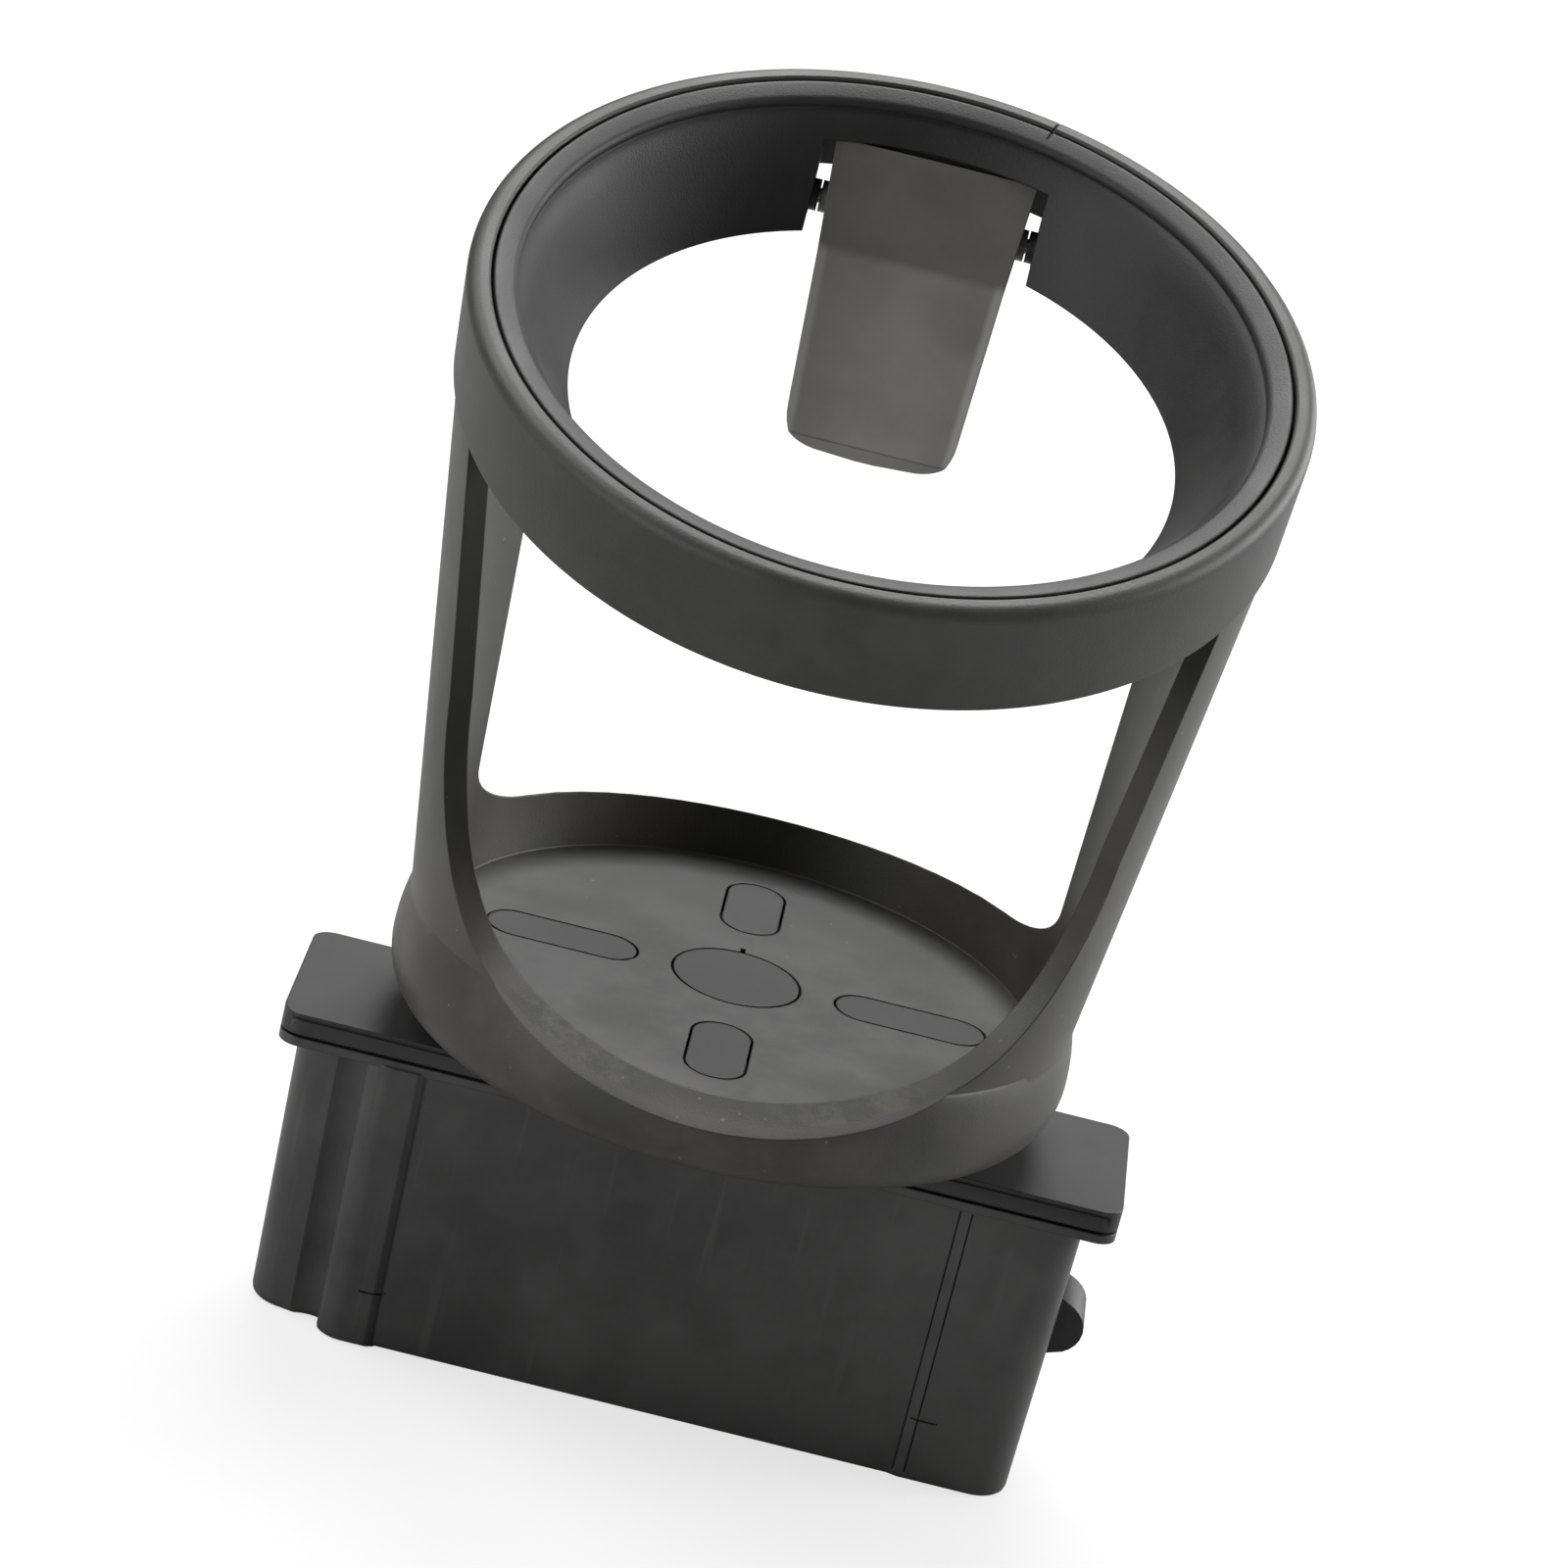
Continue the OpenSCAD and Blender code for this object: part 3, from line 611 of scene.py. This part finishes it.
def make_basket(settings):
    basket = leg_loft("basket_shell", 0, FLOOR_Z - FLOOR_T, 0)
    combine(basket, leg_loft("inside_tool", WALL, FLOOR_Z, 2.0), "DIFFERENCE")
    combine(basket, rear_window_tool(), "DIFFERENCE")
    combine(basket, lathe("bead_tool", bead_profile(settings), 240), "UNION")
    combine(basket, front_window_tool(), "DIFFERENCE")
    low, high = FLOOR_Z - 5, FLOOR_Z + 2
    gap = settings.key_gap / MM
    combine(basket, post("hole_tool", 0, 0, low, high, HUB_R + gap), "DIFFERENCE")
    notch = block("notch_tool", (-0.3, HUB_R - 0.1, low), (0.3, HUB_R + 1.4, high))
    combine(basket, notch, "DIFFERENCE")
    for key in KEYS:
        combine(basket, key_block("slot_tool", key, gap, low, high), "DIFFERENCE")
    return smooth(basket, 30)


def witness_tool():
    """The fine moulding line across the rim, to the right of the flap."""
    tool = block("witness_tool", (38, -0.14, -0.5), (52, 0.14, 2))
    return place(tool, Matrix.Rotation(math.radians(WITNESS), 4, "Z"))


def make_ring(settings):
    r = settings.rim_round / MM
    crown = arc(RING_R - r, -r, r, 0, 90, 10)
    foot = arc(RING_BOTTOM_R - 0.5, -BAND_H + 0.5, 0.5, 270, 360, 5)
    profile = [(BAND_IN_R, -BAND_H)] + foot + crown
    profile += [(BAND_IN_R + 0.25, 0), (BAND_IN_R, -0.25)]
    ring = lathe("ring_band", profile, 256)
    half, height = WINDOW_HALF + CHEEK_T, 2
    notch = block("notch_tool", (-half, 0, -BAND_H - 1), (half, 60, -BAND_H + height))
    combine(ring, notch, "DIFFERENCE")
    combine(ring, witness_tool(), "DIFFERENCE")
    place(ring, ring_matrix())
    return smooth(ring, 40)


def funnel_r(drop):
    return LIP_R - (LIP_R - MOUTH_R) / (BAND_H - LIP_DROP) * (drop - LIP_DROP)


def flap_point(out, up):
    """A point in the flap's own leaning frame, from the hinge, as (Y, Z) in millimetres."""
    c, s = math.cos(FLAP_LEAN), math.sin(FLAP_LEAN)
    return HINGE_Y + out * c + up * s, HINGE_Z - out * s + up * c


def cheek(x0, x1):
    """A cheek behind the funnel: three rods along X wrapped into one rounded plate."""
    r = BARREL_R + 0.4
    parts = [rod("cheek_tool", x0, x1, HINGE_Y + dy, HINGE_Z + dz, r, 40)
             for dy, dz in ((0, 0), (-0.6, 5), (0.8, 4))]
    clear_selection()
    for part in parts:
        part.select_set(True)
    bpy.context.view_layer.objects.active = parts[0]
    bpy.ops.object.join()
    bpy.ops.object.mode_set(mode="EDIT")
    bpy.ops.mesh.select_all(action="SELECT")
    bpy.ops.mesh.convex_hull()
    bpy.ops.object.mode_set(mode="OBJECT")
    return parts[0]


def lintel():
    """The tab that hangs behind the flap's head."""
    y, z = flap_point(-2.87 + 2.35 + 0.75, 7.1 - 0.75)
    tab = block("lintel_tool", (-9.4, -0.75, -3.25), (9.4, 0.75, 3.25))
    turn = (Matrix.Translation((0, y * MM, z * MM))
            @ Matrix.Rotation(-FLAP_LEAN, 4, "X"))
    return place(tab, turn)


def make_liner():
    wall = 2.42
    lip = arc(LIP_R + 0.9, -LIP_DROP - 0.75, 0.9, 208, 105, 8)
    out_r = BAND_IN_R - 0.3
    profile = [(MOUTH_R, -BAND_H + 0.2), (funnel_r(13.8), -13.8)]
    profile += [(funnel_r(d), -d) for d in (11.0, 8.0, 5.0, 2.6)] + lip
    profile += [(out_r - 0.6, -0.16), (out_r - 0.15, -0.24), (out_r, -0.5), (out_r, -2),
                (45.6, -2.05), (45.6, -6.5), (43.9, -6.5), (43.9, -2.6),
                (funnel_r(2.6) + wall, -2.6), (MOUTH_R + wall, -BAND_H + 0.45),
                (MOUTH_R + 0.6, -BAND_H)]
    liner = lathe("liner_funnel", profile, 256)
    combine(liner, block("window_tool", (-WINDOW_HALF, 24, -30), (WINDOW_HALF, 59, -5)),
            "DIFFERENCE")
    combine(liner, witness_tool(), "DIFFERENCE")
    place(liner, ring_matrix())
    for side in (-1, 1):
        ends = sorted((side * WINDOW_HALF, side * (WINDOW_HALF + CHEEK_T)))
        combine(liner, cheek(*ends), "UNION")
        ends = sorted((side * 12.65, side * (WINDOW_HALF + 0.5)))
        combine(liner, rod("ear_tool", ends[0], ends[1], HINGE_Y, HINGE_Z, BARREL_R), "UNION")
    combine(liner, lintel(), "UNION")
    return smooth(liner, 32)


PLUG_LEFT, PLUG_RIGHT, PLUG_HALF, PANEL = 48.2, 46.3, 12.0, 32.0
RIM_HALF_X, RIM_HALF_Y, RIM_T, RIM_CORNER = 50, 12.5, 1.1, 2.5
RIM_Z = 35.9
SLOT_HALF = 4.3
SCREW_X, SCREW_R = (-28, 13), 3.4
TICKS = ((-34.2, 7.0), (32.3, 7.9))
LATCH_Z = 20.4


def plug_plan():
    """Plan of the plug's front half, from its left end to its right end, in millimetres."""
    left, right, d = -PLUG_LEFT, PLUG_RIGHT, PLUG_HALF
    return ([(left, -3.4)] + arc(left + 4.4, -3.6, 4.4, 185, 262, 10)
            + arc(left + 7.2, -12.2, 4.2, 115, 60, 8) + arc(left + 12.2, -9.2, 3.6, 212, 270, 8)
            + [(-PANEL - 1, -d - 0.8), (-PANEL - 0.25, -d - 0.35), (-PANEL, -d), (PANEL, -d),
               (PANEL + 1.4, -d - 0.4)] + arc(right - 4.2, -d + 3.8, 4.2, 270, 355, 14))


def drawn_column(name, plan, levels):
    """A closed outline in the (X, Y) plane, drawn point by point, then run down through
    levels of (height, how far the ends have come in)."""
    clear_selection()
    bpy.ops.mesh.primitive_plane_add(size=MM)
    piece = bpy.context.object
    piece.name = name
    bpy.ops.object.mode_set(mode="EDIT")
    bpy.ops.mesh.select_mode(type="VERT")
    bpy.ops.mesh.select_all(action="SELECT")
    bpy.ops.mesh.merge(type="CENTER")
    x, y = plan[0]
    height, inset = levels[0]
    bpy.ops.transform.translate(value=(x * MM, y * MM, height * MM))
    for nx, ny in plan[1:]:
        bpy.ops.mesh.extrude_vertices_move(
            TRANSFORM_OT_translate={"value": ((nx - x) * MM, (ny - y) * MM, 0)})
        x, y = nx, ny
    bpy.ops.mesh.select_all(action="SELECT")
    bpy.ops.mesh.edge_face_add()
    for z, more in levels[1:]:
        bpy.ops.mesh.extrude_region_move(
            TRANSFORM_OT_translate={"value": (0, 0, (z - height) * MM)})
        k = (PLUG_LEFT - more) / (PLUG_LEFT - inset)
        ky = (PLUG_HALF - more / 2) / (PLUG_HALF - inset / 2)
        bpy.ops.transform.resize(value=(k, ky, 1), center_override=(0, 0, z * MM))
        height, inset = z, more
    bpy.ops.mesh.select_all(action="SELECT")
    bpy.ops.mesh.normals_make_consistent(inside=False)
    bpy.ops.object.mode_set(mode="OBJECT")
    return piece


def bevel_edges(piece, wanted, width, segments):
    select_edges(piece, wanted)
    bpy.ops.mesh.bevel(offset=width * MM, segments=segments, affect="EDGES")
    bpy.ops.object.mode_set(mode="OBJECT")


def make_plug(settings):
    front = plug_plan()
    plan = front + [(x, -y) for x, y in reversed(front)]
    draft = settings.plug_draft / MM
    plug = drawn_column("plug_shell", plan, [
        (RIM_Z + 0.3, 0), (0.8, draft), (0.25, draft + 0.15), (0.05, draft + 0.35),
        (0, draft + 0.6)])
    rim = block("rim_tool", (-RIM_HALF_X, -RIM_HALF_Y, RIM_Z),
                (RIM_HALF_X, RIM_HALF_Y, RIM_Z + RIM_T))
    bevel_edges(rim, lambda a, b: abs(a.z - b.z) > 0.5, RIM_CORNER, 8)
    combine(plug, rim, "UNION")
    slot = block("slot_tool", (PLUG_RIGHT - 9, -SLOT_HALF, LATCH_Z - SLOT_HALF),
                 (PLUG_RIGHT + 4, SLOT_HALF, LATCH_Z + SLOT_HALF))
    combine(plug, slot, "DIFFERENCE")
    for x in SCREW_X:
        combine(plug, post("screw_tool", x, 0, -1, 12, SCREW_R, 48), "DIFFERENCE")
    groove = settings.line_width / MM
    for side in (-1, 1):
        near, far = sorted((side * (PLUG_HALF - 0.5), side * 16))
        for x in (PANEL - 0.3, PANEL + 1.1):
            line = block("line_tool", (x, near, 0.8), (x + groove, far, RIM_Z - 0.3))
            combine(plug, line, "DIFFERENCE")
        for x, z in TICKS:
            tick = block("tick_tool", (x, near, z), (x + 3.2, far, z + 0.2))
            combine(plug, tick, "DIFFERENCE")
    return smooth(plug, 30)


class BasketSettings(bpy.types.PropertyGroup):
    bead_proud: bpy.props.FloatProperty(name="Bead", unit="LENGTH", default=0.0017,
        min=0.0012, max=0.0022, description="How far the bead stands out of the legs")
    bead_drop: bpy.props.FloatProperty(name="Bead depth", unit="LENGTH", default=0.0076,
        min=0.0075, max=0.009, description="Depth of the bead below the cup floor")
    key_gap: bpy.props.FloatProperty(name="Key gap", unit="LENGTH", default=0.0003,
        min=0.0001, max=0.0004, description="Gap round the floor's disc and keys")
    colour: bpy.props.FloatVectorProperty(name="Colour", subtype="COLOR", size=3,
        default=(0.041, 0.0396, 0.0365), min=0, max=1, description="Colour of the plastic")
    haze: bpy.props.FloatProperty(name="Haze", subtype="FACTOR", default=0.7, min=0, max=1,
        description="Amount of pale wear")


class RingSettings(bpy.types.PropertyGroup):
    rim_round: bpy.props.FloatProperty(name="Rim round", unit="LENGTH", default=0.0016,
        min=0.001, max=0.002, description="Radius of the band's rounded top edge")
    band_colour: bpy.props.FloatVectorProperty(name="Band colour", subtype="COLOR", size=3,
        default=(0.034, 0.033, 0.032), min=0, max=1, description="Colour of the outer band")
    liner_colour: bpy.props.FloatVectorProperty(name="Liner colour", subtype="COLOR", size=3,
        default=(0.0135, 0.0131, 0.013), min=0, max=1, description="Colour of the inner liner")


class FlapSettings(bpy.types.PropertyGroup):
    edge_round: bpy.props.FloatProperty(name="Edge round", unit="LENGTH", default=0.0007,
        min=0.0002, max=0.0009, description="Radius of the flap's edges")
    colour: bpy.props.FloatVectorProperty(name="Colour", subtype="COLOR", size=3,
        default=(0.200, 0.197, 0.183), min=0, max=1, description="Colour of the flap")


class PlugSettings(bpy.types.PropertyGroup):
    cap_colour: bpy.props.FloatVectorProperty(name="Cap colour", subtype="COLOR", size=3,
        default=(0.019, 0.0186, 0.0184), min=0, max=1, description="Colour of the cap")
    body_colour: bpy.props.FloatVectorProperty(name="Plug colour", subtype="COLOR", size=3,
        default=(0.042, 0.041, 0.0405), min=0, max=1, description="Colour of the plug")
    plug_draft: bpy.props.FloatProperty(name="Draft", unit="LENGTH", default=0.0009,
        min=0, max=0.0015, description="How much narrower each end is at the foot")
    line_width: bpy.props.FloatProperty(name="Line width", unit="LENGTH", default=0.00016,
        min=0.0001, max=0.0003, description="Width of the lines beside the middle panel")
    nose_round: bpy.props.FloatProperty(name="Nose round", unit="LENGTH", default=0.0003,
        min=0.0001, max=0.0005, description="Radius of the latch's edges")


class CUPHOLDER_OT_basket(bpy.types.Operator):
    """Makes the basket: floor, bead and two legs in one moulding"""
    bl_idname = "cupholder.basket"
    bl_label = "Basket"

    def execute(self, context):
        settings = context.scene.cupholder_basket
        finish_piece(make_basket(settings), "basket", "holder", basket_material(settings))
        return {"FINISHED"}


class CUPHOLDER_OT_ring(bpy.types.Operator):
    """Makes the tilted ring and the funnel-shaped liner inside it"""
    bl_idname = "cupholder.ring"
    bl_label = "Ring and liner"

    def execute(self, context):
        settings = context.scene.cupholder_ring
        finish_piece(make_ring(settings), "outer_ring", "holder", band_material(settings))
        finish_piece(make_liner(), "inner_liner", "holder", liner_material(settings))
        return {"FINISHED"}


class CUPHOLDER_OT_flap(bpy.types.Operator):
    """Makes the can flap with its rounded edges, its pin and its spring"""
    bl_idname = "cupholder.flap"
    bl_label = "Flap"

    def execute(self, context):
        settings = context.scene.cupholder_flap
        flap = dressed_copy("flap", "can_flap", settings.edge_round / MM, 3, 40)
        finish_piece(flap, "flap", "flap_body", flap_material(settings))
        steel = brushed("spring_steel", 0.5)
        use_material("flap_pin", steel)
        spring = dressed_copy("flap_spring", "torsion_spring", 0.0)
        finish_piece(spring, "flap_spring", None, steel)
        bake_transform(spring)
        return {"FINISHED"}


class CUPHOLDER_OT_plug(bpy.types.Operator):
    """Makes the flanged plug, its cap, its screws and its latch"""
    bl_idname = "cupholder.plug"
    bl_label = "Plug and latch"

    def execute(self, context):
        settings = context.scene.cupholder_plug
        cap = dressed_copy("adapter_cap", "plug_cap", 0.0)
        finish_piece(cap, "adapter_cap", "holder", cap_material(settings))
        finish_piece(make_plug(settings), "plug_body", "holder", plug_material(settings))
        nose = dressed_copy("latch", "latch_slider", settings.nose_round / MM, 2)
        finish_piece(nose, "latch", "latch_body", latch_material(settings))
        zinc = brushed("zinc_steel", 0.45)
        for node in ("hub_screws", "body_screws"):
            use_material(node, zinc)
        spring = dressed_copy("latch_spring", "push_spring", 0.0)
        finish_piece(spring, "latch_spring", "holder", zinc)
        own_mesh(spring)
        return {"FINISHED"}


class StageSettings(bpy.types.PropertyGroup):
    elevation: bpy.props.FloatProperty(name="Elevation", description="Camera height angle",
        default=math.radians(21.26), subtype="ANGLE", unit="ROTATION")
    roll: bpy.props.FloatProperty(name="Roll", description="Camera turn about its view",
        default=math.radians(13.88), subtype="ANGLE", unit="ROTATION")
    distance: bpy.props.FloatProperty(name="Distance", description="Camera to its target",
        default=0.6895, unit="LENGTH")
    target_z: bpy.props.FloatProperty(name="Target height", description="Point looked at",
        default=0.07716, unit="LENGTH")
    lens: bpy.props.FloatProperty(name="Lens", description="Focal length in millimetres",
        default=137.47)


class CUPHOLDER_OT_stage(bpy.types.Operator):
    """Makes the pale floor, the soft lights and the camera"""
    bl_idname = "cupholder.stage"
    bl_label = "Stage"

    def execute(self, context):
        settings = context.scene.cupholder_stage
        make_floor()
        make_world(context.scene)
        make_lamps()
        make_camera(context.scene, settings)
        return {"FINISHED"}


def make_floor():
    """A pale floor; its bounce is held down so that the undersides stay dark."""
    clear_selection()
    bpy.ops.mesh.primitive_plane_add(size=12, location=(0, 0, -0.0001))
    floor = bpy.context.object
    floor.name = "studio_floor"
    g = Graph("pale_floor")
    camera = g.node("ShaderNodeLightPath", {}, {}).out("Is Camera Ray")
    bounce = g.node("ShaderNodeBsdfDiffuse", {}, {"Color": (0.42, 0.42, 0.42, 1)}).out()
    pale = g.node("ShaderNodeBsdfDiffuse", {}, {"Color": (0.86, 0.86, 0.86, 1)}).out()
    glow = g.node("ShaderNodeEmission", {}, {"Strength": 1.0}).out()
    seen = g.node("ShaderNodeMixShader", {}, {0: 0.72, 1: pale, 2: glow}).out()
    both = g.node("ShaderNodeMixShader", {}, {0: camera, 1: bounce, 2: seen}).out()
    g.node("ShaderNodeOutputMaterial", {}, {"Surface": both})
    floor.data.materials.append(g.material)


def make_world(scene):
    world = bpy.data.worlds.new("studio_world")
    scene.world = world
    world.use_nodes = True
    background = world.node_tree.nodes["Background"]
    background.inputs["Color"].default_value = (1, 1, 1, 1)
    background.inputs["Strength"].default_value = 0.10


def make_lamp(name, place_at, size, power):
    data = bpy.data.lights.new(name, "AREA")
    data.shape = "DISK"
    data.size = size
    data.energy = power
    lamp = bpy.data.objects.new(name, data)
    lamp.location = place_at
    aim = Vector((0, 0, 0.08)) - Vector(place_at)
    lamp.rotation_euler = aim.to_track_quat("-Z", "Y").to_euler()
    bpy.context.scene.collection.objects.link(lamp)


def make_lamps():
    make_lamp("top_lamp", (0, 0.7, 1.1), 0.8, 15.0)
    make_lamp("top_left_lamp", (-0.7, 0.1, 1.0), 0.7, 8.5)
    make_lamp("front_left_lamp", (-0.9, -0.9, 0.2), 0.7, 7.0)
    make_lamp("back_right_lamp", (0.8, 0.9, 0.4), 0.7, 6.0)
    make_lamp("right_lamp", (1.15, 0.35, 0.5), 0.7, 15.0)


def make_camera(scene, settings):
    e, roll = settings.elevation, settings.roll
    forward = Vector((0, math.cos(e), -math.sin(e)))
    right, up = Vector((1, 0, 0)), Vector((0, math.sin(e), math.cos(e)))
    x_axis = right * math.cos(roll) + up * math.sin(roll)
    y_axis = up * math.cos(roll) - right * math.sin(roll)
    data = bpy.data.cameras.new("photo_camera")
    data.lens = settings.lens
    data.sensor_width = 36
    data.clip_end = 50
    camera = bpy.data.objects.new("photo_camera", data)
    turn = Matrix((x_axis, y_axis, -forward)).transposed().to_4x4()
    spot = Vector((0, 0, settings.target_z)) - forward * settings.distance
    camera.matrix_world = Matrix.Translation(spot) @ turn
    scene.collection.objects.link(camera)
    scene.camera = camera


class CUPHOLDER_PT_panel(bpy.types.Panel):
    """Lists the cup holder's steps"""
    bl_idname = "CUPHOLDER_PT_panel"
    bl_label = "Cup holder"
    bl_space_type = "VIEW_3D"
    bl_region_type = "UI"
    bl_category = "Cup holder"

    def draw(self, context):
        for step in STEPS:
            self.layout.operator(step.bl_idname)
        for group, cls in SETTINGS.items():
            box = self.layout.box()
            for name in cls.__annotations__:
                box.prop(getattr(context.scene, group), name)


STEPS = [CUPHOLDER_OT_stage, CUPHOLDER_OT_basket, CUPHOLDER_OT_ring, CUPHOLDER_OT_flap,
         CUPHOLDER_OT_plug]
SETTINGS = {"cupholder_stage": StageSettings, "cupholder_basket": BasketSettings,
            "cupholder_ring": RingSettings, "cupholder_flap": FlapSettings,
            "cupholder_plug": PlugSettings}
CLASSES = list(SETTINGS.values()) + STEPS + [CUPHOLDER_PT_panel]


def register():
    for cls in CLASSES:
        bpy.utils.register_class(cls)
    for name, cls in SETTINGS.items():
        setattr(bpy.types.Scene, name, bpy.props.PointerProperty(type=cls))


def unregister():
    for name in SETTINGS:
        delattr(bpy.types.Scene, name)
    for cls in reversed(CLASSES):
        bpy.utils.unregister_class(cls)


def main():
    register()
    bpy.ops.cupholder.stage()
    bpy.ops.cupholder.basket()
    bpy.ops.cupholder.ring()
    bpy.ops.cupholder.flap()
    bpy.ops.cupholder.plug()
    bpy.context.scene.view_settings.view_transform = "Standard"


if __name__ == "__main__":
    main()
